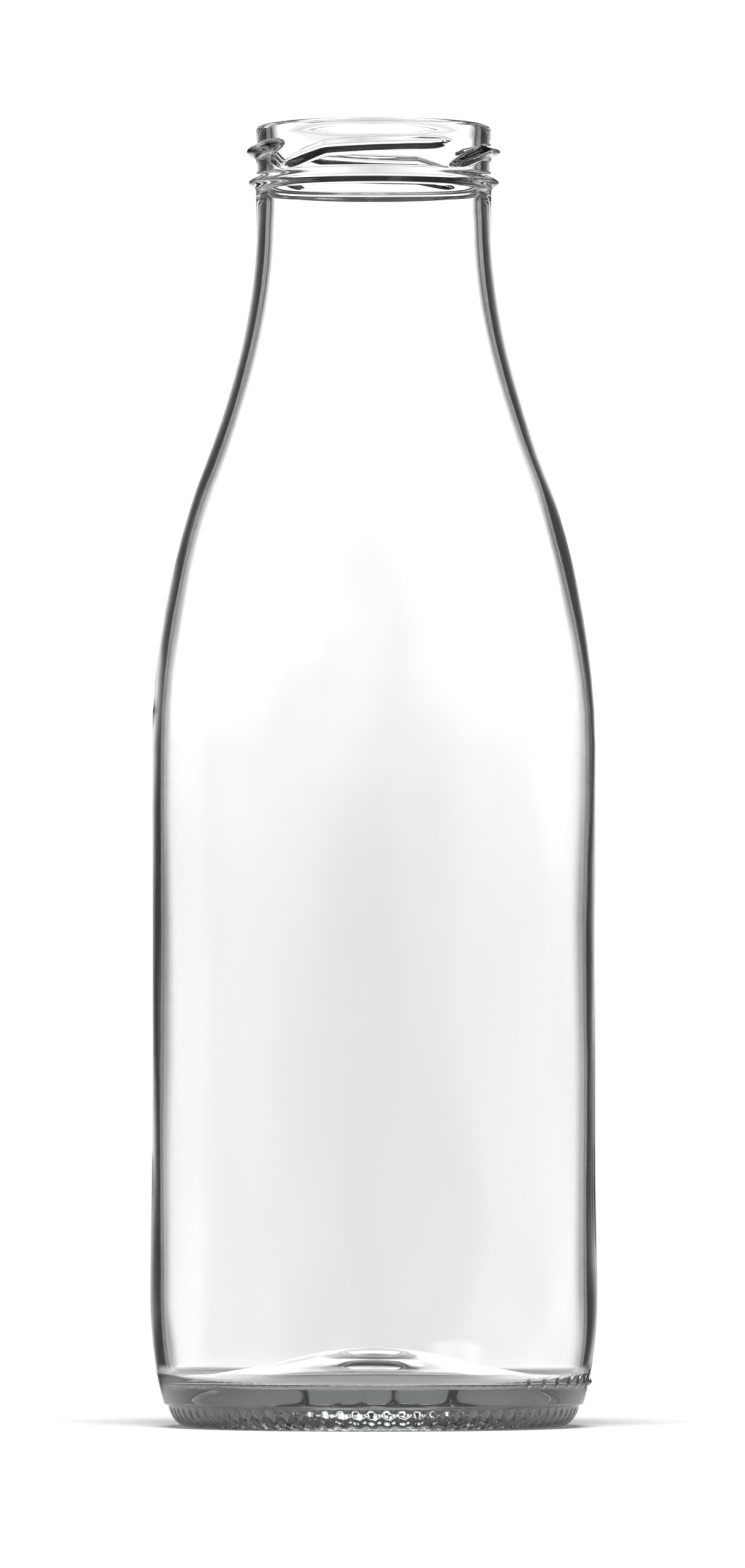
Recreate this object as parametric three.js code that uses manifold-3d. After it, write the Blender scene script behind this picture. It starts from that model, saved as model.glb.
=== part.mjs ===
// Glass milk bottle of just under a litre, with a wide mouth: one piece of clear glass,
// pressed and blown in a mould. A four-lug twist-off lid of 48 mm fits its mouth.
//
// Millimetres, +Z up. The origin is the centre of the ring that the bottle stands on.

import * as THREE from 'three';
import { mergeVertices } from 'three/addons/utils/BufferGeometryUtils.js';
import Module from 'manifold-3d';

// Whole bottle
const HEIGHT = 249.2;
const WALL = 1.9;
const AROUND = 48; // facets in a turn

// Base: a ring to stand on, a hollow underside and a domed floor
const RING = { inner: 33.0, outer: 35.2 };
const PUSH_UP = 8.0;
const FLOOR = { centre: 15.2, edge: 8.2, edgeRadius: 36.5 };

// Heel: the band that rests in the carton, and the small ledge above it
const HEEL = { radius: 39.3, height: 4.0 };
const LEDGE = { radius: 40.2, height: 4.6 };

// Body: widest just above the heel, very slightly waisted, and widening again
const BELLY = { radius: 43.0, height: 24.8 };
const WAIST = { radius: 42.62, low: 55.0, high: 97.0 };
const SHOULDER = { radius: 42.78, height: 130.0 };

// Shoulder: bulging up to the turn, then hollow up to the neck
const TURN = { radius: 33.5, height: 181.9 };
const NECK = { radius: 22.7, height: 231.0 };

// Mouth: a bead, four lugs and a flat sealing land
const BEAD = { crest: 24.14, low: 236.55, high: 239.95 };
const BORE = 20.6;
const BORE_DEPTH = 13.0;
const LAND = { inner: 21.1, outer: 21.9, drop: 1.2 };
const LUGS = 4;
const LUG = { height: 1.75, below: 1.5, above: 1.2, bury: 0.8, start: -51.5, span: 93.5, taper: 12.0 };
// Height of a lug's crest, against degrees from its low tip
const LUG_PATH = [[0, 240.15], [28.2, 243.68], [93.5, 244.79]];

const point = (radius, height) => new THREE.Vector2(radius, height);

const glass = new THREE.MeshStandardMaterial({
  color: 0xdfe9e4,
  roughness: 0.03,
  metalness: 0.0,
  transparent: true,
  opacity: 0.35,
});

/** The curve from one point to another that leaves and arrives as the handles say. */
function bend(from, leave, arrive, to) {
  return new THREE.CubicBezierCurve(point(...from), point(...leave), point(...arrive), point(...to));
}

/** The outside of the shoulder, from the body up to the straight neck. */
function shoulderCurves() {
  const bulge = bend(
    [SHOULDER.radius, SHOULDER.height],
    [SHOULDER.radius, SHOULDER.height + 27.5],
    [TURN.radius + 0.55, TURN.height - 1.4],
    [TURN.radius, TURN.height],
  );
  const hollow = bend(
    [TURN.radius, TURN.height],
    [TURN.radius - 5.45, TURN.height + 13.84],
    [NECK.radius, NECK.height - 17.4],
    [NECK.radius, NECK.height],
  );
  return [bulge, hollow];
}

/** The underside and the standing ring, from the axis out to the heel. */
function underside() {
  const dome = bend([0, PUSH_UP], [12, PUSH_UP], [26, 4.2], [RING.inner, 0]);
  const heel = bend([RING.outer, 0], [37.3, 0], [38.9, 1.9], [HEEL.radius, HEEL.height]);
  return [...dome.getPoints(5), ...heel.getPoints(4)];
}

/** The outside of the low wall: the flare above the ledge, and the easing in to the waist. */
function lowCurves() {
  const flare = bend(
    [LEDGE.radius, LEDGE.height],
    [41.3, 7.0],
    [BELLY.radius, 15.5],
    [BELLY.radius, BELLY.height],
  );
  const easing = bend(
    [BELLY.radius, BELLY.height],
    [BELLY.radius, 32.0],
    [WAIST.radius, 42.0],
    [WAIST.radius, WAIST.low],
  );
  return [flare, easing];
}

/** The outside of the wall, from the ledge up to the top of the neck. */
function outside() {
  const [flare, easing] = lowCurves();
  const [bulge, hollow] = shoulderCurves();
  return [
    ...flare.getPoints(4),
    ...easing.getPoints(3).slice(1),
    point(WAIST.radius, WAIST.high),
    ...bulge.getPoints(8),
    ...hollow.getPoints(8).slice(1),
  ];
}

/** The bead, the finish and the land, up to the inner edge of the mouth. */
function mouth() {
  const bead = [0, 0.1, 0.25, 0.4, 0.5, 0.6, 0.75, 0.9, 1].map((share) => point(
    NECK.radius + (BEAD.crest - NECK.radius) * Math.sin(Math.PI * share) ** 2,
    BEAD.low + (BEAD.high - BEAD.low) * share,
  ));
  const lip = bend(
    [NECK.radius, HEIGHT - LAND.drop],
    [NECK.radius, HEIGHT - 0.4],
    [NECK.radius - 0.5, HEIGHT],
    [LAND.outer, HEIGHT],
  );
  return [...bead, ...lip.getPoints(3), point(LAND.inner, HEIGHT)];
}

/** A curve's points from its end back to a share of it, moved inwards by the wall. */
function behind(curve, count, last = 0) {
  const moved = [];
  for (let step = 0; step <= count; step += 1) {
    const share = 1 - ((1 - last) * step) / count;
    const at = curve.getPoint(share);
    const along = curve.getTangent(share);
    moved.push(point(at.x - WALL * along.y, at.y + WALL * along.x));
  }
  return moved;
}

/** The inside, from the mouth down to the middle of the floor. */
function inside() {
  const [bulge, hollow] = shoulderCurves();
  const [flare, easing] = lowCurves();
  const wall = [
    point(BORE, HEIGHT - 0.5),
    point(BORE, HEIGHT - BORE_DEPTH),
    ...behind(hollow, 8),
    ...behind(bulge, 8).slice(1),
    point(WAIST.radius - WALL, WAIST.high),
    ...behind(easing, 3),
    ...behind(flare, 3, 0.42).slice(1),
  ];
  const foot = wall.at(-1);
  const corner = bend(
    [foot.x, foot.y],
    [foot.x - 0.4, foot.y - 1.7],
    [foot.x - 1.3, FLOOR.edge],
    [FLOOR.edgeRadius, FLOOR.edge],
  );
  const dome = bend(
    [FLOOR.edgeRadius, FLOOR.edge],
    [27.0, FLOOR.edge + 0.4],
    [15.0, FLOOR.centre],
    [0, FLOOR.centre],
  );
  return [...wall, ...corner.getPoints(4).slice(1), ...dome.getPoints(6).slice(1)];
}

/** Position and triangles of a geometry, with shared corners and no empty triangles. */
function weld(geometry) {
  geometry.deleteAttribute('normal');
  geometry.deleteAttribute('uv');
  const merged = mergeVertices(geometry, 1e-4);
  const corners = merged.index.array;
  const kept = [];
  for (let i = 0; i < corners.length; i += 3) {
    const [a, b, c] = corners.slice(i, i + 3);
    if (a !== b && b !== c && c !== a) kept.push(a, b, c);
  }
  merged.setIndex(kept);
  return merged;
}

/** The shell of the bottle without its lugs, turned about the upright axis. */
function turnedShell() {
  const profile = [...underside(), ...outside(), ...mouth(), ...inside()];
  const shell = new THREE.LatheGeometry(profile, AROUND);
  shell.rotateX(Math.PI / 2);
  return weld(shell);
}

/** A closed body through a row of equal loops of points, flat at both ends. */
function skin(loops) {
  const count = loops[0].length;
  const position = loops.flat().flatMap((at) => at.toArray());
  const index = [];
  for (let row = 0; row < loops.length - 1; row += 1) {
    for (let i = 0; i < count; i += 1) {
      const a = row * count + i;
      const b = row * count + ((i + 1) % count);
      index.push(a, b, b + count, a, b + count, a + count);
    }
  }
  const last = (loops.length - 1) * count;
  for (let i = 1; i < count - 1; i += 1) {
    index.push(0, i + 1, i, last, last + i, last + i + 1);
  }
  const geometry = new THREE.BufferGeometry();
  geometry.setAttribute('position', new THREE.Float32BufferAttribute(position, 3));
  geometry.setIndex(index);
  return geometry;
}

/** Height of a lug's crest at so many degrees from its low tip. */
function lugHeight(degrees) {
  const next = Math.max(1, LUG_PATH.findIndex(([at]) => at >= degrees));
  const [[a, low], [b, high]] = LUG_PATH.slice(next - 1, next + 1);
  return THREE.MathUtils.mapLinear(degrees, a, b, low, high);
}

/** Section of a lug at so many degrees from its low tip, as points around it. */
function lugSection(degrees, turn) {
  const fromEnd = Math.min(degrees, LUG.span - degrees);
  const grown = THREE.MathUtils.smoothstep(fromEnd, -1.5, LUG.taper);
  const root = NECK.radius - LUG.bury;
  const crest = NECK.radius - 0.3 + (LUG.height + 0.3) * grown;
  const level = lugHeight(degrees);
  const middling = (NECK.radius + crest) / 2;
  const outline = [
    [root, -LUG.below * 1.3],
    [root, LUG.above * 1.1],
    [middling + 0.25, LUG.above * 0.85],
    [crest, LUG.above * 0.3],
    [crest, -LUG.below * 0.1],
    [middling, -LUG.below * 0.5],
  ];
  const angle = THREE.MathUtils.degToRad(LUG.start + degrees + turn - 90);
  return outline.map(([radius, lift]) => new THREE.Vector3(
    radius * Math.cos(angle),
    radius * Math.sin(angle),
    level + lift,
  ));
}

/** One lug, its root buried in the wall of the mouth. */
function lug(turn) {
  const steps = 18;
  const loops = [];
  for (let step = 0; step <= steps; step += 1) {
    loops.push(lugSection((LUG.span * step) / steps, turn));
  }
  return skin(loops);
}

const wasm = await Module();
wasm.setup();

function toSolid(geometry) {
  return new wasm.Manifold(new wasm.Mesh({
    numProp: 3,
    vertProperties: new Float32Array(geometry.attributes.position.array),
    triVerts: new Uint32Array(geometry.index.array),
  }));
}

function toGeometry(solid) {
  const mesh = solid.getMesh();
  const geometry = new THREE.BufferGeometry();
  geometry.setAttribute('position', new THREE.BufferAttribute(mesh.vertProperties, 3));
  geometry.setIndex(new THREE.BufferAttribute(mesh.triVerts, 1));
  geometry.computeVertexNormals();
  return geometry;
}

function bottle() {
  let solid = toSolid(turnedShell());
  for (let i = 0; i < LUGS; i += 1) {
    solid = solid.add(toSolid(lug((360 / LUGS) * i)));
  }
  const mesh = new THREE.Mesh(toGeometry(solid), glass);
  mesh.name = 'glass_bottle';
  return mesh;
}

const milkBottle = new THREE.Group();
milkBottle.add(bottle());

export default milkBottle;
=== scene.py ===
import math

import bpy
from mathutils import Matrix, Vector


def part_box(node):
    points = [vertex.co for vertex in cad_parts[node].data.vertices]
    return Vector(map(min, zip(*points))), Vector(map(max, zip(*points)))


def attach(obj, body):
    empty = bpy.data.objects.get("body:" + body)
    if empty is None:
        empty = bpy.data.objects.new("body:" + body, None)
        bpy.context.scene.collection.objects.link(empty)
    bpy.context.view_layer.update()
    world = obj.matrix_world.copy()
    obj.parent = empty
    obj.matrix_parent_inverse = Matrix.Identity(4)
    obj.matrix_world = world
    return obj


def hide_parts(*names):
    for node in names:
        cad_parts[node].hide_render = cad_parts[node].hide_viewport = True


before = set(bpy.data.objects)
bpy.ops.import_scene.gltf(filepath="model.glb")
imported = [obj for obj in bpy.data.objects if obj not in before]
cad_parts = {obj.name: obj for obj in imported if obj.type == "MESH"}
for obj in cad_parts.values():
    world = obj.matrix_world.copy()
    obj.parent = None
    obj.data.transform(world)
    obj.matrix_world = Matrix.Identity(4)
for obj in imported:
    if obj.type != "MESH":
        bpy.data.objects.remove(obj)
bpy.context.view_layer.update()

# A milk bottle of clear soda-lime glass, pressed and blown in a mould, in one piece. It is turned
# from one outline by a Geometry Nodes tree, which also raises what the mould gives the outside:
# four lugs at the mouth, ribs round the heel and a row of dots above them.

MM = 0.001

# Whole bottle: its height and widest radius are the frame's
_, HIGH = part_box("glass_bottle")
HEIGHT = HIGH.z / MM
BELLY_RADIUS = HIGH.x / MM
WALL = 1.9

# Base
RING_INNER, RING_OUTER = 33.0, 35.2
PUSH_UP = 8.0
MARK_FROM, MARK_TO, MARK_DEPTH = 0.12, 0.165, 0.3  # a ring between two shares of the underside
FLOOR_CENTRE, FLOOR_EDGE, FLOOR_EDGE_RADIUS = 15.2, 8.2, 36.5
CORNER_TOP = 0.42  # share of the flare where the inside leaves the wall for the floor

# Heel and ledge
HEEL_RADIUS, HEEL_HEIGHT = 39.3, 4.0
LEDGE_RADIUS, LEDGE_HEIGHT = 40.2, 4.6
FINE_TOP = 0.42  # share of the flare that has the fine columns the dots need

# Body, shoulder and neck
BELLY_HEIGHT = 24.8
WAIST_RADIUS, WAIST_LOW, WAIST_HIGH = 42.62, 55.0, 97.0
SHOULDER_RADIUS, SHOULDER_HEIGHT = 42.78, 130.0
TURN_RADIUS, TURN_HEIGHT = 33.5, 181.9
NECK_RADIUS, NECK_HEIGHT = 22.7, 231.0

# Mouth
BEAD_CREST, BEAD_LOW, BEAD_HIGH = 24.14, 236.55, 239.95
LAND_INNER, LAND_OUTER, LAND_DROP = 21.1, 21.9, 1.2
BORE_RADIUS, BORE_DEPTH = 20.6, 13.0
LUGS_TOP = 246.0
LUG_STARTS = (-51.5, 38.5)  # degrees from the front to each pair's first low tip

# Studio: a soft box's brightness against how far off its middle it is seen, as a share of the
# reach, and how much brighter it is at its top than at its foot
BOX_REACH = 45.0
BOX_LEVELS = (
    (0.0, 0.43), (0.04, 0.5), (0.075, 0.53), (0.11, 0.6), (0.18, 0.73), (0.207, 0.75),
    (0.25, 0.6), (0.305, 0.3), (0.36, 0.04), (0.45, 0.01), (1.0, 0.01),
)
BOX_FOOT, BOX_TOP = 2.1, 3.1
DARK_LEVEL = 0.02
WHITE_LEVEL = 1.05
PAPER_RADIUS = 0.16


# ---------------------------------------------------------------- outline

def bend(start, leave, arrive, end):
    """A curve from start to end, as its four control points."""
    return start, leave, arrive, end


def at(curve, t):
    """The point (radius, height) of a curve at t from 0 to 1."""
    weights = ((1 - t) ** 3, 3 * (1 - t) ** 2 * t, 3 * (1 - t) * t**2, t**3)
    return tuple(sum(w * p[i] for w, p in zip(weights, curve)) for i in (0, 1))


def along(curve, steps, first=0.0, last=1.0):
    """Points of a curve from t = first to t = last, without its first one."""
    return [at(curve, first + (last - first) * i / steps) for i in range(1, steps + 1)]


def behind(curve, steps, last=0.0):
    """A curve's points from its end back to t = last, moved inwards by the wall's thickness."""
    moved = []
    for i in range(steps + 1):
        t = 1 - (1 - last) * i / steps
        (r0, z0), (r1, z1) = at(curve, max(t - 0.01, 0)), at(curve, min(t + 0.01, 1))
        length = math.hypot(r1 - r0, z1 - z0)
        r, z = at(curve, t)
        moved.append((r - WALL * (z1 - z0) / length, z + WALL * (r1 - r0) / length))
    return moved


def line(start, end, steps):
    """Points on a straight line, without its first one."""
    return [
        tuple(a + (b - a) * i / steps for a, b in zip(start, end)) for i in range(1, steps + 1)
    ]


def outline():
    """The outline's points from the axis below to the axis inside, and the row where each
    of its four strips ends: the underside, the heel, the outside and the inside."""
    flare = bend(
        (LEDGE_RADIUS, LEDGE_HEIGHT), (41.3, 7.0), (BELLY_RADIUS, 15.5), (BELLY_RADIUS, BELLY_HEIGHT)
    )
    easing = bend(
        (BELLY_RADIUS, BELLY_HEIGHT), (BELLY_RADIUS, 32), (WAIST_RADIUS, 42), (WAIST_RADIUS, WAIST_LOW)
    )
    bulge = bend(
        (SHOULDER_RADIUS, SHOULDER_HEIGHT),
        (SHOULDER_RADIUS, SHOULDER_HEIGHT + 27.5),
        (TURN_RADIUS + 0.55, TURN_HEIGHT - 1.4),
        (TURN_RADIUS, TURN_HEIGHT),
    )
    hollow = bend(
        (TURN_RADIUS, TURN_HEIGHT),
        (TURN_RADIUS - 5.45, TURN_HEIGHT + 13.84),
        (NECK_RADIUS, NECK_HEIGHT - 17.4),
        (NECK_RADIUS, NECK_HEIGHT),
    )
    rows, ends = [(0.0, PUSH_UP)], []

    # Underside: a shallow dome up to the standing ring, with a low ring round its middle
    dome = bend((0, PUSH_UP), (12, PUSH_UP), (26, 4.2), (RING_INNER, 0))
    mark = along(dome, 8, MARK_FROM, MARK_TO)
    rows += along(dome, 1, 0.0, MARK_FROM)
    for i, (r, z) in enumerate(mark, 1):
        rows.append((r, z - MARK_DEPTH * math.sin(math.pi * i / len(mark)) ** 2))
    rows += along(dome, 9, MARK_TO, 1.0)
    ends.append(len(rows) - 1)

    # Heel: the standing ring, the round heel, the ledge and the foot of the flare
    rows += line((RING_INNER, 0), (RING_OUTER, 0), 2)
    rows += along(bend((RING_OUTER, 0), (37.3, 0), (38.9, 1.9), (HEEL_RADIUS, HEEL_HEIGHT)), 13)
    rows += along(
        bend((HEEL_RADIUS, HEEL_HEIGHT), (39.4, 4.5), (40.0, 4.2), (LEDGE_RADIUS, LEDGE_HEIGHT)), 5
    )
    rows += along(flare, 18, 0.0, FINE_TOP)
    ends.append(len(rows) - 1)

    # Outside: flare, belly, waist, shoulder, neck, bead, finish and lip
    rows += along(flare, 5, FINE_TOP, 1.0)
    rows += along(easing, 5)
    rows += line((WAIST_RADIUS, WAIST_LOW), (WAIST_RADIUS, WAIST_HIGH), 3)
    rows += line((WAIST_RADIUS, WAIST_HIGH), (SHOULDER_RADIUS, SHOULDER_HEIGHT), 3)
    rows += along(bulge, 12)
    rows += along(hollow, 12)
    rows += line((NECK_RADIUS, NECK_HEIGHT), (NECK_RADIUS, BEAD_LOW), 2)
    for r, z in line((NECK_RADIUS, BEAD_LOW), (NECK_RADIUS, BEAD_HIGH), 18):
        share = (z - BEAD_LOW) / (BEAD_HIGH - BEAD_LOW)
        rows.append((r + (BEAD_CREST - r) * math.sin(math.pi * share) ** 2, z))
    rows += line((NECK_RADIUS, BEAD_HIGH), (NECK_RADIUS, LUGS_TOP), 22)
    rows += line((NECK_RADIUS, LUGS_TOP), (NECK_RADIUS, HEIGHT - LAND_DROP), 2)
    rows += along(
        bend(
            (NECK_RADIUS, HEIGHT - LAND_DROP),
            (NECK_RADIUS, HEIGHT - 0.4),
            (NECK_RADIUS - 0.5, HEIGHT),
            (LAND_OUTER, HEIGHT),
        ),
        6,
    )
    rows += line((LAND_OUTER, HEIGHT), (LAND_INNER, HEIGHT), 2)
    rows += along(
        bend(
            (LAND_INNER, HEIGHT),
            (LAND_INNER - 0.3, HEIGHT),
            (BORE_RADIUS, HEIGHT - 0.2),
            (BORE_RADIUS, HEIGHT - 0.6),
        ),
        4,
    )
    ends.append(len(rows) - 1)

    # Inside: bore, neck, shoulder, body and the domed floor
    rows += line((BORE_RADIUS, HEIGHT - 0.6), (BORE_RADIUS, HEIGHT - BORE_DEPTH), 4)
    rows += behind(hollow, 12)
    rows += behind(bulge, 12)[1:]
    rows += line((SHOULDER_RADIUS - WALL, SHOULDER_HEIGHT), (WAIST_RADIUS - WALL, WAIST_HIGH), 3)
    rows += line((WAIST_RADIUS - WALL, WAIST_HIGH), (WAIST_RADIUS - WALL, WAIST_LOW), 3)
    rows += behind(easing, 4)[1:]
    rows += behind(flare, 6, CORNER_TOP)[1:]
    r, z = rows[-1]
    rows += along(
        bend((r, z), (r - 0.4, z - 1.7), (r - 1.3, FLOOR_EDGE), (FLOOR_EDGE_RADIUS, FLOOR_EDGE)), 8
    )
    rows += along(
        bend(
            (FLOOR_EDGE_RADIUS, FLOOR_EDGE),
            (27.0, FLOOR_EDGE + 0.4),
            (15.0, FLOOR_CENTRE),
            (0, FLOOR_CENTRE),
        ),
        14,
    )
    ends.append(len(rows) - 1)
    return rows, ends


# ---------------------------------------------------------------- nodes

def node(tree, kind, inputs=None, **settings):
    """Adds a node with its settings. Each input is a plain value or the socket that feeds it."""
    made = tree.nodes.new(kind)
    for name, value in settings.items():
        setattr(made, name, value)
    for key, value in (inputs or {}).items():
        if isinstance(value, bpy.types.NodeSocket):
            tree.links.new(value, made.inputs[key])
        else:
            made.inputs[key].default_value = value
    return made


def srgb(text):
    """A colour written as sRGB hex, as linear values with alpha."""
    parts = [int(text[i : i + 2], 16) / 255 for i in (1, 3, 5)]
    return (*(c / 12.92 if c <= 0.04045 else ((c + 0.055) / 1.055) ** 2.4 for c in parts), 1.0)


def new_group(name, sockets):
    """A Geometry Nodes tree with these inputs, and one geometry output."""
    tree = bpy.data.node_groups.new(name, "GeometryNodeTree")
    tree.interface.new_socket("Geometry", in_out="OUTPUT", socket_type="NodeSocketGeometry")
    for label, kind, value in sockets:
        socket = tree.interface.new_socket(label, in_out="INPUT", socket_type=kind)
        if value is not None:
            socket.default_value = value
    return tree


def strip_tree():
    """Turns some rows of the outline about the upright axis, as one strip of faces. Its first
    and last rows are drawn in to every End Columns-th part of a turn, so that a fine strip's
    edges fall on a coarse strip's."""
    tree = new_group("turned_strip", [
        ("Outline", "NodeSocketGeometry", None),
        ("First Row", "NodeSocketInt", 0),
        ("Last Row", "NodeSocketInt", 1),
        ("Columns", "NodeSocketInt", 336),
        ("End Columns", "NodeSocketInt", 336),
    ])
    given = node(tree, "NodeGroupInput").outputs
    steps = node(
        tree, "FunctionNodeIntegerMath", {0: given["Last Row"], 1: given["First Row"]},
        operation="SUBTRACT",
    ).outputs[0]
    rows = node(tree, "FunctionNodeIntegerMath", {0: steps, 1: 1}, operation="ADD").outputs[0]
    around = node(
        tree, "FunctionNodeIntegerMath", {0: given["Columns"], 1: 1}, operation="ADD"
    ).outputs[0]
    grid = node(
        tree, "GeometryNodeMeshGrid",
        {"Size X": 1.0, "Size Y": 1.0, "Vertices X": around, "Vertices Y": rows},
    ).outputs["Mesh"]
    place = node(
        tree, "ShaderNodeSeparateXYZ", {0: node(tree, "GeometryNodeInputPosition").outputs[0]}
    ).outputs
    share_of_turn = node(tree, "ShaderNodeMath", {0: place[0], 1: 0.5}, operation="ADD").outputs[0]
    share_of_rows = node(tree, "ShaderNodeMath", {0: place[1], 1: 0.5}, operation="ADD").outputs[0]
    row = node(
        tree, "ShaderNodeMath", {0: share_of_rows, 1: steps}, operation="MULTIPLY"
    ).outputs[0]
    row = node(tree, "ShaderNodeMath", {0: row}, operation="ROUND").outputs[0]
    outline_row = node(
        tree, "ShaderNodeMath", {0: row, 1: given["First Row"]}, operation="ADD"
    ).outputs[0]

    # the end rows' share of a turn, rounded to the end columns
    drawn = node(
        tree, "ShaderNodeMath", {0: share_of_turn, 1: given["End Columns"]}, operation="MULTIPLY"
    ).outputs[0]
    drawn = node(tree, "ShaderNodeMath", {0: drawn}, operation="ROUND").outputs[0]
    drawn = node(
        tree, "ShaderNodeMath", {0: drawn, 1: given["End Columns"]}, operation="DIVIDE"
    ).outputs[0]
    from_middle = node(
        tree, "ShaderNodeMath", {0: place[1]}, operation="ABSOLUTE"
    ).outputs[0]
    at_end = node(
        tree, "ShaderNodeMath", {0: from_middle, 1: 0.4999}, operation="GREATER_THAN"
    ).outputs[0]
    turn = node(
        tree, "ShaderNodeMix", {0: at_end, 2: share_of_turn, 3: drawn}, data_type="FLOAT"
    ).outputs[0]
    angle = node(tree, "ShaderNodeMath", {0: turn, 1: math.tau}, operation="MULTIPLY").outputs[0]

    sampled = node(
        tree, "GeometryNodeSampleIndex",
        {"Geometry": given["Outline"], "Index": outline_row},
        data_type="FLOAT_VECTOR", domain="POINT",
    )
    tree.links.new(node(tree, "GeometryNodeInputPosition").outputs[0], sampled.inputs["Value"])
    point = node(tree, "ShaderNodeSeparateXYZ", {0: sampled.outputs[0]}).outputs
    cosine = node(tree, "ShaderNodeMath", {0: angle}, operation="COSINE").outputs[0]
    sine = node(tree, "ShaderNodeMath", {0: angle}, operation="SINE").outputs[0]
    x = node(tree, "ShaderNodeMath", {0: point[0], 1: cosine}, operation="MULTIPLY").outputs[0]
    y = node(tree, "ShaderNodeMath", {0: point[0], 1: sine}, operation="MULTIPLY").outputs[0]
    turned = node(tree, "ShaderNodeCombineXYZ", {0: x, 1: y, 2: point[2]}).outputs[0]
    placed = node(tree, "GeometryNodeSetPosition", {"Geometry": grid, "Position": turned})
    node(tree, "NodeGroupOutput", {0: placed.outputs[0]})
    return tree


def ribs_tree():
    """Cuts ribs into the standing ring and the heel, evenly round the bottle. The crests stay
    where the plain surface is. The ribs lean over as they climb, and fade out at both ends."""
    tree = new_group("heel_ribs", [
        ("Geometry", "NodeSocketGeometry", None),
        ("Count", "NodeSocketInt", 84),
        ("Depth", "NodeSocketFloat", 0.3 * MM),
        ("Lean", "NodeSocketFloat", 1.2),
        ("Inner Radius", "NodeSocketFloat", RING_INNER * MM),
        ("Outer Radius", "NodeSocketFloat", HEEL_RADIUS * MM),
        ("Top", "NodeSocketFloat", HEEL_HEIGHT * MM),
    ])
    given = node(tree, "NodeGroupInput").outputs
    here = node(tree, "GeometryNodeInputPosition").outputs[0]
    place = node(tree, "ShaderNodeSeparateXYZ", {0: here}).outputs
    flat = node(tree, "ShaderNodeCombineXYZ", {0: place[0], 1: place[1]}).outputs[0]
    radius = node(tree, "ShaderNodeVectorMath", {0: flat}, operation="LENGTH").outputs["Value"]
    angle = node(
        tree, "ShaderNodeMath", {0: place[1], 1: place[0]}, operation="ARCTAN2"
    ).outputs[0]
    climb = node(
        tree, "ShaderNodeMapRange",
        {"Value": radius, "From Min": given["Inner Radius"], "From Max": given["Outer Radius"]},
    ).outputs[0]

    lean = node(tree, "ShaderNodeMath", {0: climb, 1: climb}, operation="MULTIPLY").outputs[0]
    lean = node(
        tree, "ShaderNodeMath", {0: lean, 1: given["Lean"]}, operation="MULTIPLY"
    ).outputs[0]
    phase = node(
        tree, "ShaderNodeMath", {0: angle, 1: given["Count"], 2: lean}, operation="MULTIPLY_ADD"
    ).outputs[0]
    wave = node(tree, "ShaderNodeMath", {0: phase}, operation="COSINE").outputs[0]
    groove = node(
        tree, "ShaderNodeMapRange",
        {"Value": wave, "From Min": -0.9, "From Max": 0.6, "To Min": 1.0, "To Max": 0.0},
        interpolation_type="SMOOTHSTEP",
    ).outputs[0]

    start = node(
        tree, "ShaderNodeMapRange", {"Value": climb, "From Min": 0.0, "From Max": 0.18},
        interpolation_type="SMOOTHSTEP",
    ).outputs[0]
    below_top = node(
        tree, "ShaderNodeMath", {0: given["Top"], 1: place[2]}, operation="SUBTRACT"
    ).outputs[0]
    end = node(
        tree, "ShaderNodeMapRange",
        {"Value": below_top, "From Min": 0.05 * MM, "From Max": 0.5 * MM},
        interpolation_type="SMOOTHSTEP",
    ).outputs[0]
    share = node(tree, "ShaderNodeMath", {0: start, 1: end}, operation="MULTIPLY").outputs[0]
    share = node(tree, "ShaderNodeMath", {0: share, 1: groove}, operation="MULTIPLY").outputs[0]
    depth = node(
        tree, "ShaderNodeMath", {0: share, 1: given["Depth"]}, operation="MULTIPLY"
    ).outputs[0]
    inwards = node(
        tree, "ShaderNodeMath", {0: depth, 1: -1.0}, operation="MULTIPLY"
    ).outputs[0]
    offset = node(
        tree, "ShaderNodeVectorMath",
        {0: node(tree, "GeometryNodeInputNormal").outputs[0], "Scale": inwards},
        operation="SCALE",
    ).outputs[0]
    cut = node(tree, "GeometryNodeSetPosition", {"Geometry": given["Geometry"], "Offset": offset})
    node(tree, "NodeGroupOutput", {0: cut.outputs[0]})
    return tree


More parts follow.
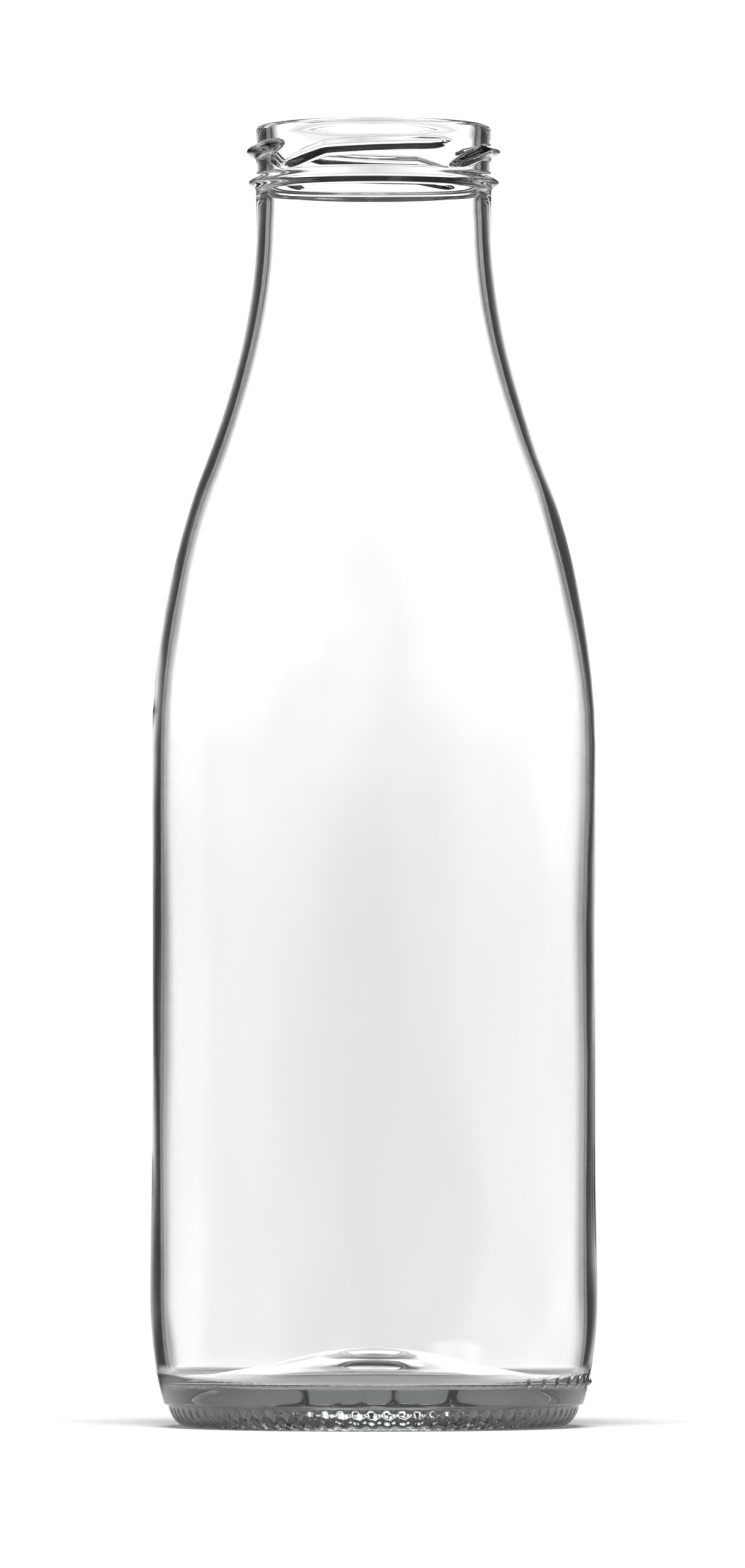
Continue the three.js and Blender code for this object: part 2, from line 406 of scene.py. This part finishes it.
def dots_tree():
    """Raises a level row of equal round dots on the outside, just above the heel."""
    tree = new_group("dot_row", [
        ("Geometry", "NodeSocketGeometry", None),
        ("Count", "NodeSocketInt", 8),
        ("First Angle", "NodeSocketFloat", math.radians(45.0)),
        ("Pitch", "NodeSocketFloat", math.radians(6.05)),
        ("Radius", "NodeSocketFloat", 0.75 * MM),
        ("Rise", "NodeSocketFloat", 0.5 * MM),
        ("Row Radius", "NodeSocketFloat", 41.3 * MM),
        ("Row Height", "NodeSocketFloat", 8.7 * MM),
    ])
    given = node(tree, "NodeGroupInput").outputs
    here = node(tree, "GeometryNodeInputPosition").outputs[0]
    place = node(tree, "ShaderNodeSeparateXYZ", {0: here}).outputs

    # the angle is measured from the front, to the right
    behind_front = node(
        tree, "ShaderNodeMath", {0: place[1], 1: -1.0}, operation="MULTIPLY"
    ).outputs[0]
    angle = node(
        tree, "ShaderNodeMath", {0: place[0], 1: behind_front}, operation="ARCTAN2"
    ).outputs[0]
    past_first = node(
        tree, "ShaderNodeMath", {0: angle, 1: given["First Angle"]}, operation="SUBTRACT"
    ).outputs[0]
    pitches = node(
        tree, "ShaderNodeMath", {0: past_first, 1: given["Pitch"]}, operation="DIVIDE"
    ).outputs[0]
    nearest = node(tree, "ShaderNodeMath", {0: pitches}, operation="ROUND").outputs[0]
    last = node(
        tree, "ShaderNodeMath", {0: given["Count"], 1: 1.0}, operation="SUBTRACT"
    ).outputs[0]
    nearest = node(
        tree, "ShaderNodeClamp", {"Value": nearest, "Min": 0.0, "Max": last}
    ).outputs[0]
    centre_angle = node(
        tree, "ShaderNodeMath",
        {0: nearest, 1: given["Pitch"], 2: given["First Angle"]}, operation="MULTIPLY_ADD",
    ).outputs[0]
    sine = node(tree, "ShaderNodeMath", {0: centre_angle}, operation="SINE").outputs[0]
    cosine = node(tree, "ShaderNodeMath", {0: centre_angle}, operation="COSINE").outputs[0]
    right = node(
        tree, "ShaderNodeMath", {0: sine, 1: given["Row Radius"]}, operation="MULTIPLY"
    ).outputs[0]
    front = node(
        tree, "ShaderNodeMath", {0: cosine, 1: given["Row Radius"]}, operation="MULTIPLY"
    ).outputs[0]
    front = node(tree, "ShaderNodeMath", {0: front, 1: -1.0}, operation="MULTIPLY").outputs[0]
    centre = node(
        tree, "ShaderNodeCombineXYZ", {0: right, 1: front, 2: given["Row Height"]}
    ).outputs[0]
    away = node(
        tree, "ShaderNodeVectorMath", {0: here, 1: centre}, operation="DISTANCE"
    ).outputs["Value"]
    dome = node(
        tree, "ShaderNodeMapRange",
        {
            "Value": away,
            "From Min": 0.0,
            "From Max": given["Radius"],
            "To Min": given["Rise"],
            "To Max": 0.0,
        },
        interpolation_type="SMOOTHSTEP",
    ).outputs[0]
    offset = node(
        tree, "ShaderNodeVectorMath",
        {0: node(tree, "GeometryNodeInputNormal").outputs[0], "Scale": dome},
        operation="SCALE",
    ).outputs[0]
    raised = node(
        tree, "GeometryNodeSetPosition", {"Geometry": given["Geometry"], "Offset": offset}
    )
    node(tree, "NodeGroupOutput", {0: raised.outputs[0]})
    return tree


def lugs_tree():
    """Raises one or more lugs on the outside of the mouth, evenly spaced. Each climbs steeply
    from its low tip and then runs nearly level, and the next one starts below its high end."""
    tree = new_group("mouth_lugs", [
        ("Geometry", "NodeSocketGeometry", None),
        ("Count", "NodeSocketInt", 2),
        ("Start Angle", "NodeSocketFloat", 0.0),
        ("Span", "NodeSocketFloat", math.radians(93.5)),
        ("Rise", "NodeSocketFloat", 1.75 * MM),
        ("Below Crest", "NodeSocketFloat", 1.5 * MM),
        ("Above Crest", "NodeSocketFloat", 1.2 * MM),
        ("End Taper", "NodeSocketFloat", math.radians(16.0)),
        ("Low Tip", "NodeSocketFloat", 240.15 * MM),
        ("Steep Slope", "NodeSocketFloat", 0.125 * MM * 180 / math.pi),
        ("Level Start", "NodeSocketFloat", 243.2 * MM),
        ("Level Slope", "NodeSocketFloat", 0.017 * MM * 180 / math.pi),
        ("Wall Radius", "NodeSocketFloat", NECK_RADIUS * MM),
        ("Inside Limit", "NodeSocketFloat", 22.0 * MM),
    ])
    given = node(tree, "NodeGroupInput").outputs
    here = node(tree, "GeometryNodeInputPosition").outputs[0]
    place = node(tree, "ShaderNodeSeparateXYZ", {0: here}).outputs
    flat = node(tree, "ShaderNodeCombineXYZ", {0: place[0], 1: place[1]}).outputs[0]
    radius = node(tree, "ShaderNodeVectorMath", {0: flat}, operation="LENGTH").outputs["Value"]
    behind_front = node(
        tree, "ShaderNodeMath", {0: place[1], 1: -1.0}, operation="MULTIPLY"
    ).outputs[0]
    angle = node(
        tree, "ShaderNodeMath", {0: place[0], 1: behind_front}, operation="ARCTAN2"
    ).outputs[0]
    past_start = node(
        tree, "ShaderNodeMath", {0: angle, 1: given["Start Angle"]}, operation="SUBTRACT"
    ).outputs[0]
    pitch = node(
        tree, "ShaderNodeMath", {0: math.tau, 1: given["Count"]}, operation="DIVIDE"
    ).outputs[0]
    gone = node(
        tree, "ShaderNodeMath", {0: past_start, 1: pitch}, operation="FLOORED_MODULO"
    ).outputs[0]

    # height of the lug's middle line here
    steep = node(
        tree, "ShaderNodeMath",
        {0: gone, 1: given["Steep Slope"], 2: given["Low Tip"]}, operation="MULTIPLY_ADD",
    ).outputs[0]
    level = node(
        tree, "ShaderNodeMath",
        {0: gone, 1: given["Level Slope"], 2: given["Level Start"]}, operation="MULTIPLY_ADD",
    ).outputs[0]
    middle = node(
        tree, "ShaderNodeMath", {0: steep, 1: level, 2: 0.2 * MM}, operation="SMOOTH_MIN"
    ).outputs[0]

    # the lug's section: a long slope below its crest, and a rounder one above
    off_crest = node(
        tree, "ShaderNodeMath", {0: place[2], 1: middle}, operation="SUBTRACT"
    ).outputs[0]
    above = node(tree, "ShaderNodeMath", {0: off_crest, 1: 0.0}, operation="GREATER_THAN").outputs[0]
    half = node(
        tree, "ShaderNodeMix",
        {0: above, 2: given["Below Crest"], 3: given["Above Crest"]}, data_type="FLOAT",
    ).outputs[0]
    across = node(
        tree, "ShaderNodeMath", {0: off_crest, 1: half}, operation="DIVIDE"
    ).outputs[0]
    to_go = node(
        tree, "ShaderNodeMath", {0: given["Span"], 1: gone}, operation="SUBTRACT"
    ).outputs[0]
    from_end = node(tree, "ShaderNodeMath", {0: gone, 1: to_go}, operation="MINIMUM").outputs[0]
    lengthways = node(
        tree, "ShaderNodeMapRange",
        {
            "Value": from_end,
            "From Min": 0.0,
            "From Max": given["End Taper"],
            "To Min": 1.0,
            "To Max": 0.0,
        },
    ).outputs[0]
    away = node(tree, "ShaderNodeCombineXYZ", {0: across, 1: lengthways}).outputs[0]
    away = node(tree, "ShaderNodeVectorMath", {0: away}, operation="LENGTH").outputs["Value"]
    square = node(tree, "ShaderNodeMath", {0: away, 1: away}, operation="MULTIPLY").outputs[0]
    away = node(
        tree, "ShaderNodeMix", {0: above, 2: away, 3: square}, data_type="FLOAT"
    ).outputs[0]
    height = node(
        tree, "ShaderNodeMapRange",
        {"Value": away, "From Min": 0.0, "From Max": 1.0, "To Min": 1.0, "To Max": 0.0},
        interpolation_type="SMOOTHSTEP",
    ).outputs[0]
    lug_radius = node(
        tree, "ShaderNodeMath",
        {0: height, 1: given["Rise"], 2: given["Wall Radius"]}, operation="MULTIPLY_ADD",
    ).outputs[0]

    # only the outside of the mouth is pushed out
    outside = node(
        tree, "ShaderNodeMath", {0: radius, 1: given["Inside Limit"]}, operation="GREATER_THAN"
    ).outputs[0]
    raised = node(
        tree, "ShaderNodeMath", {0: height, 1: 0.001}, operation="GREATER_THAN"
    ).outputs[0]
    chosen = node(
        tree, "ShaderNodeMath", {0: outside, 1: raised}, operation="MULTIPLY"
    ).outputs[0]
    outer = node(
        tree, "ShaderNodeMath", {0: lug_radius, 1: radius}, operation="MAXIMUM"
    ).outputs[0]
    growth = node(tree, "ShaderNodeMath", {0: outer, 1: radius}, operation="DIVIDE").outputs[0]
    x = node(tree, "ShaderNodeMath", {0: place[0], 1: growth}, operation="MULTIPLY").outputs[0]
    y = node(tree, "ShaderNodeMath", {0: place[1], 1: growth}, operation="MULTIPLY").outputs[0]
    pushed = node(tree, "ShaderNodeCombineXYZ", {0: x, 1: y, 2: place[2]}).outputs[0]
    made = node(
        tree, "GeometryNodeSetPosition",
        {"Geometry": given["Geometry"], "Selection": chosen, "Position": pushed},
    )
    node(tree, "NodeGroupOutput", {0: made.outputs[0]})
    return tree


def waves_tree():
    """Moves the inside in and out a little, as blown glass does where no mould touches it."""
    tree = new_group("blown_waves", [
        ("Geometry", "NodeSocketGeometry", None),
        ("Depth", "NodeSocketFloat", 0.2 * MM),
        ("Size", "NodeSocketFloat", 26.0 * MM),
        ("Full Below", "NodeSocketFloat", 160 * MM),
        ("Still Above", "NodeSocketFloat", 225 * MM),
        ("Seed", "NodeSocketFloat", 3.0),
    ])
    given = node(tree, "NodeGroupInput").outputs
    here = node(tree, "GeometryNodeInputPosition").outputs[0]
    place = node(tree, "ShaderNodeSeparateXYZ", {0: here}).outputs
    scale = node(tree, "ShaderNodeMath", {0: 1.0, 1: given["Size"]}, operation="DIVIDE").outputs[0]
    noise = node(
        tree, "ShaderNodeTexNoise",
        {"Vector": here, "W": given["Seed"], "Scale": scale, "Detail": 1.0},
        noise_dimensions="4D",
    ).outputs[0]
    swing = node(
        tree, "ShaderNodeMapRange",
        {"Value": noise, "From Min": 0.0, "From Max": 1.0, "To Min": -1.0, "To Max": 1.0},
    ).outputs[0]
    still_at_mouth = node(
        tree, "ShaderNodeMapRange",
        {
            "Value": place[2],
            "From Min": given["Full Below"],
            "From Max": given["Still Above"],
            "To Min": given["Depth"],
            "To Max": 0.0,
        },
        interpolation_type="SMOOTHSTEP",
    ).outputs[0]
    depth = node(
        tree, "ShaderNodeMath", {0: swing, 1: still_at_mouth}, operation="MULTIPLY"
    ).outputs[0]
    offset = node(
        tree, "ShaderNodeVectorMath",
        {0: node(tree, "GeometryNodeInputNormal").outputs[0], "Scale": depth},
        operation="SCALE",
    ).outputs[0]
    waved = node(
        tree, "GeometryNodeSetPosition", {"Geometry": given["Geometry"], "Offset": offset}
    )
    node(tree, "NodeGroupOutput", {0: waved.outputs[0]})
    return tree


def bottle_tree(ends):
    """The whole bottle: four turned strips welded together, then the mould's relief."""
    tree = new_group("glass_bottle", [
        ("Outline", "NodeSocketGeometry", None),
        ("Columns", "NodeSocketInt", 336),
        ("Fine Columns", "NodeSocketInt", 1008),
        ("Material", "NodeSocketMaterial", None),
    ])
    given = node(tree, "NodeGroupInput").outputs
    join = node(tree, "GeometryNodeJoinGeometry")
    strip, waves = strip_tree(), waves_tree()
    firsts = [0, *ends[:-1]]
    columns = [given["Columns"], given["Fine Columns"], given["Columns"], given["Columns"]]
    for first, last, count in zip(firsts, ends, columns):
        turned = node(tree, "GeometryNodeGroup", node_tree=strip)
        for key, value in {
            "Outline": given["Outline"], "Columns": count, "End Columns": given["Columns"]
        }.items():
            tree.links.new(value, turned.inputs[key])
        turned.inputs["First Row"].default_value = first
        turned.inputs["Last Row"].default_value = last
        welded = node(
            tree, "GeometryNodeMergeByDistance", {"Geometry": turned.outputs[0], "Distance": 1e-6}
        )
        made = welded.outputs[0]
        if last == ends[-1]:
            waved = node(tree, "GeometryNodeGroup", node_tree=waves)
            tree.links.new(made, waved.inputs["Geometry"])
            made = waved.outputs[0]
        tree.links.new(made, join.inputs[0])
    made = node(
        tree, "GeometryNodeMergeByDistance", {"Geometry": join.outputs[0], "Distance": 1e-6}
    ).outputs[0]
    for relief in (ribs_tree(), dots_tree()):
        raised = node(tree, "GeometryNodeGroup", node_tree=relief)
        tree.links.new(made, raised.inputs["Geometry"])
        made = raised.outputs[0]
    lugs = lugs_tree()
    for start in LUG_STARTS:
        raised = node(
            tree, "GeometryNodeGroup", {"Start Angle": math.radians(start)}, node_tree=lugs
        )
        tree.links.new(made, raised.inputs["Geometry"])
        made = raised.outputs[0]
    made = node(tree, "GeometryNodeSetShadeSmooth", {"Geometry": made}).outputs[0]
    made = node(tree, "GeometryNodeRealizeInstances", {"Geometry": made}).outputs[0]
    made = node(
        tree, "GeometryNodeSetMaterial", {"Geometry": made, "Material": given["Material"]}
    ).outputs[0]
    node(tree, "NodeGroupOutput", {0: made})
    return tree


# ---------------------------------------------------------------- glass

def clear_glass():
    """Soda-lime glass, fire-polished: it bends light by 1.52 and is all but smooth. The faint
    ripples that the mould and the blowing leave make straight edges behind it waver. Its
    iron gives thick places a grey-green cast."""
    material = bpy.data.materials.new("clear_soda_lime_glass")
    material.use_nodes = True
    tree = material.node_tree
    tree.nodes.clear()
    here = node(tree, "ShaderNodeTexCoord").outputs["Object"]
    ripple = node(
        tree, "ShaderNodeTexNoise", {"Vector": here, "Scale": 1 / (14 * MM), "Detail": 1.5}
    ).outputs[0]
    bump = node(
        tree, "ShaderNodeBump", {"Height": ripple, "Strength": 0.12, "Distance": 0.1 * MM}
    ).outputs[0]
    smear = node(
        tree, "ShaderNodeTexNoise", {"Vector": here, "Scale": 1 / (9 * MM), "Detail": 3.0}
    ).outputs[0]
    roughness = node(
        tree, "ShaderNodeMapRange",
        {"Value": smear, "From Min": 0.35, "From Max": 0.75, "To Min": 0.0, "To Max": 0.02},
    ).outputs[0]
    glass = node(
        tree, "ShaderNodeBsdfPrincipled",
        {
            "Base Color": srgb("#fefefe"),
            "Roughness": roughness,
            "IOR": 1.52,
            "Transmission Weight": 1.0,
            "Normal": bump,
        },
    )
    cast = node(
        tree, "ShaderNodeVolumeAbsorption", {"Color": srgb("#e3e8e6"), "Density": 24.0}
    )
    node(tree, "ShaderNodeOutputMaterial", {"Surface": glass.outputs[0], "Volume": cast.outputs[0]})
    return material


def glass_bottle():
    """The bottle as one plain mesh."""
    rows, ends = outline()
    path = bpy.data.meshes.new("bottle_outline")
    edges = [(i, i + 1) for i in range(len(rows) - 1)]
    path.from_pydata([(r * MM, 0, z * MM) for r, z in rows], edges, [])
    maker = bpy.data.objects.new("bottle_maker", path)
    bpy.context.collection.objects.link(maker)
    turning = maker.modifiers.new("turning", "NODES")
    turning.node_group = bottle_tree(ends)
    sockets = {
        item.name: item.identifier
        for item in turning.node_group.interface.items_tree if item.in_out == "INPUT"
    }
    turning[sockets["Material"]] = clear_glass()
    made = maker.evaluated_get(bpy.context.evaluated_depsgraph_get())
    mesh = bpy.data.meshes.new_from_object(made)
    mesh.name = "bottle"
    bpy.data.objects.remove(maker)
    piece = bpy.data.objects.new("bottle", mesh)
    bpy.context.collection.objects.link(piece)
    return piece


# ---------------------------------------------------------------- studio

def studio_light():
    """Tall soft boxes stand level with the bottle, behind it and on its left, with dark round
    them, so that a clear edge shows dark. Two more light it from below the level, for views from
    above, and a wide one hangs above the front."""
    world = bpy.data.worlds.new("studio")
    world.use_nodes = True
    tree = world.node_tree
    tree.nodes.clear()
    towards = node(tree, "ShaderNodeTexCoord").outputs["Generated"]
    part = node(tree, "ShaderNodeSeparateXYZ", {0: towards}).outputs
    azimuth = node(
        tree, "ShaderNodeMath", {0: part[0], 1: part[1]}, operation="ARCTAN2"
    ).outputs[0]
    azimuth = node(tree, "ShaderNodeMath", {0: azimuth}, operation="DEGREES").outputs[0]
    height = node(tree, "ShaderNodeMath", {0: part[2]}, operation="ARCSINE").outputs[0]
    height = node(tree, "ShaderNodeMath", {0: height}, operation="DEGREES").outputs[0]

    # degrees from the middle of the nearest soft box; light that the glass has reflected on its
    # way misses the box on the left, which would draw a pale stripe down the body
    reflected = node(tree, "ShaderNodeLightPath").outputs["Glossy Depth"]
    off = {}
    for level, middles in {
        "level": ((0.0, 0.0), (-90.0, BOX_REACH)), "low": ((-45.0, 0.0), (135.0, 0.0)),
    }.items():
        aways = []
        for middle, missed_by in middles:
            away = node(
                tree, "ShaderNodeMath", {0: azimuth, 1: middle}, operation="SUBTRACT"
            ).outputs[0]
            away = node(tree, "ShaderNodeMath", {0: away}, operation="ABSOLUTE").outputs[0]
            aways.append(node(
                tree, "ShaderNodeMath", {0: reflected, 1: missed_by, 2: away},
                operation="MULTIPLY_ADD",
            ).outputs[0])
        off[level] = node(
            tree, "ShaderNodeMath", {0: aways[0], 1: aways[1]}, operation="MINIMUM"
        ).outputs[0]
    off["low"] = node(
        tree, "ShaderNodeMath", {0: off["level"], 1: off["low"]}, operation="MINIMUM"
    ).outputs[0]
    low = node(
        tree, "ShaderNodeMapRange",
        {"Value": height, "From Min": -8.0, "From Max": -12.0}, interpolation_type="SMOOTHSTEP",
    ).outputs[0]
    off = node(
        tree, "ShaderNodeMix", {0: low, 2: off["level"], 3: off["low"]}, data_type="FLOAT"
    ).outputs[0]
    share = node(tree, "ShaderNodeMath", {0: off, 1: BOX_REACH}, operation="DIVIDE").outputs[0]
    boxes = node(tree, "ShaderNodeValToRGB", {0: share})
    ramp = boxes.color_ramp
    ramp.interpolation = "LINEAR"
    while len(ramp.elements) < len(BOX_LEVELS):
        ramp.elements.new(0.5)
    for stop, (position, value) in zip(ramp.elements, BOX_LEVELS):
        stop.position, stop.color = position, (value, value, value, 1)
    climb = node(
        tree, "ShaderNodeMapRange",
        {"Value": height, "From Min": 0.7, "From Max": 3.9, "To Min": BOX_FOOT, "To Max": BOX_TOP},
        interpolation_type="SMOOTHSTEP",
    ).outputs[0]
    boxes = node(
        tree, "ShaderNodeMath", {0: boxes.outputs[0], 1: climb}, operation="MULTIPLY"
    ).outputs[0]
    top = node(
        tree, "ShaderNodeMapRange",
        {"Value": height, "From Min": 18.0, "From Max": 30.0, "To Min": 1.0, "To Max": 0.0},
        interpolation_type="SMOOTHSTEP",
    ).outputs[0]
    boxes = node(tree, "ShaderNodeMath", {0: boxes, 1: top}, operation="MULTIPLY").outputs[0]
    light = node(tree, "ShaderNodeMath", {0: boxes, 1: DARK_LEVEL}, operation="ADD").outputs[0]

    # the background itself is plain white
    seen = node(tree, "ShaderNodeLightPath").outputs["Is Camera Ray"]
    light = node(
        tree, "ShaderNodeMix", {0: seen, 2: light, 3: WHITE_LEVEL}, data_type="FLOAT"
    ).outputs[0]
    shade = node(tree, "ShaderNodeBackground", {"Color": srgb("#ffffff"), "Strength": light})
    node(tree, "ShaderNodeOutputWorld", {"Surface": shade.outputs[0]})
    bpy.context.scene.world = world

    data = bpy.data.lights.new("front_box", "AREA")
    data.shape, data.size = "DISK", 1.0
    data.energy = 40.0
    front = bpy.data.objects.new("front_box", data)
    front.location = (0, -0.55, 1.5)
    front.rotation_euler = front.location.to_track_quat("Z", "Y").to_euler()
    front.visible_transmission = False
    front.visible_glossy = False
    front.visible_camera = False
    bpy.context.collection.objects.link(front)


def pale_floor():
    """A round of white paper under the bottle, which fades into the white round it. Its middle
    has painted light: a faint glow that stands in for the light clear glass would let down to it."""
    mesh = bpy.data.meshes.new("floor")
    corners = 96
    rim = []
    for i in range(corners):
        angle = math.tau * i / corners
        rim.append((PAPER_RADIUS * math.cos(angle), PAPER_RADIUS * math.sin(angle), 0.0))
    mesh.from_pydata(rim, [], [tuple(range(corners))])
    floor = bpy.data.objects.new("floor", mesh)
    bpy.context.collection.objects.link(floor)
    paper = bpy.data.materials.new("white_paper_painted_glow")
    paper.use_nodes = True
    tree = paper.node_tree
    tree.nodes.clear()
    here = node(tree, "ShaderNodeTexCoord").outputs["Object"]
    radius = node(tree, "ShaderNodeVectorMath", {0: here}, operation="LENGTH").outputs["Value"]
    fade = node(
        tree, "ShaderNodeMapRange", {"Value": radius, "From Min": 0.055, "From Max": 0.115},
        interpolation_type="SMOOTHSTEP",
    ).outputs[0]
    # painted light: an emission pool in the paper's middle, in place of light let down through the
    # glass
    painted_glow = node(
        tree, "ShaderNodeMapRange",
        {"Value": radius, "From Min": 0.018, "From Max": 0.06, "To Min": 0.38, "To Max": 0.0},
        interpolation_type="SMOOTHSTEP",
    ).outputs[0]
    painted_glow = node(tree, "ShaderNodeEmission", {"Color": srgb("#fafdfb"), "Strength": painted_glow})
    shade = node(tree, "ShaderNodeBsdfDiffuse", {"Color": srgb("#f4f4f4")})
    shade = node(tree, "ShaderNodeAddShader", {0: shade.outputs[0], 1: painted_glow.outputs[0]})
    gone = node(tree, "ShaderNodeBsdfTransparent")
    mixed = node(tree, "ShaderNodeMixShader", {0: fade, 1: shade.outputs[0], 2: gone.outputs[0]})
    node(tree, "ShaderNodeOutputMaterial", {"Surface": mixed.outputs[0]})
    mesh.materials.append(paper)


def camera():
    """A long lens, 2.36 m from the bottle's axis and 58 mm above the floor, tilted up a little."""
    data = bpy.data.cameras.new("camera")
    data.sensor_fit = "AUTO"
    data.sensor_width = 36.0
    data.lens = 283.0
    eye = bpy.data.objects.new("camera", data)
    eye.location = Vector((0.0, -2.36, 0.058))
    aim = Vector((-0.00023, 0.0, 0.123))
    eye.rotation_euler = (aim - eye.location).to_track_quat("-Z", "Y").to_euler()
    data.clip_end = 50
    bpy.context.collection.objects.link(eye)
    bpy.context.scene.camera = eye


piece = glass_bottle()
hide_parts("glass_bottle")
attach(piece, "root")
studio_light()
pale_floor()
camera()

scene = bpy.context.scene
scene.view_settings.view_transform = "Standard"

# Light crosses up to four walls and turns round in them, so it needs many bounces. Refractive
# caustics are off, so the light it would throw on the paper is painted on as the paper's glow.
scene.cycles.max_bounces = 32
scene.cycles.transmission_bounces = 32
scene.cycles.glossy_bounces = 16
scene.cycles.caustics_refractive = False
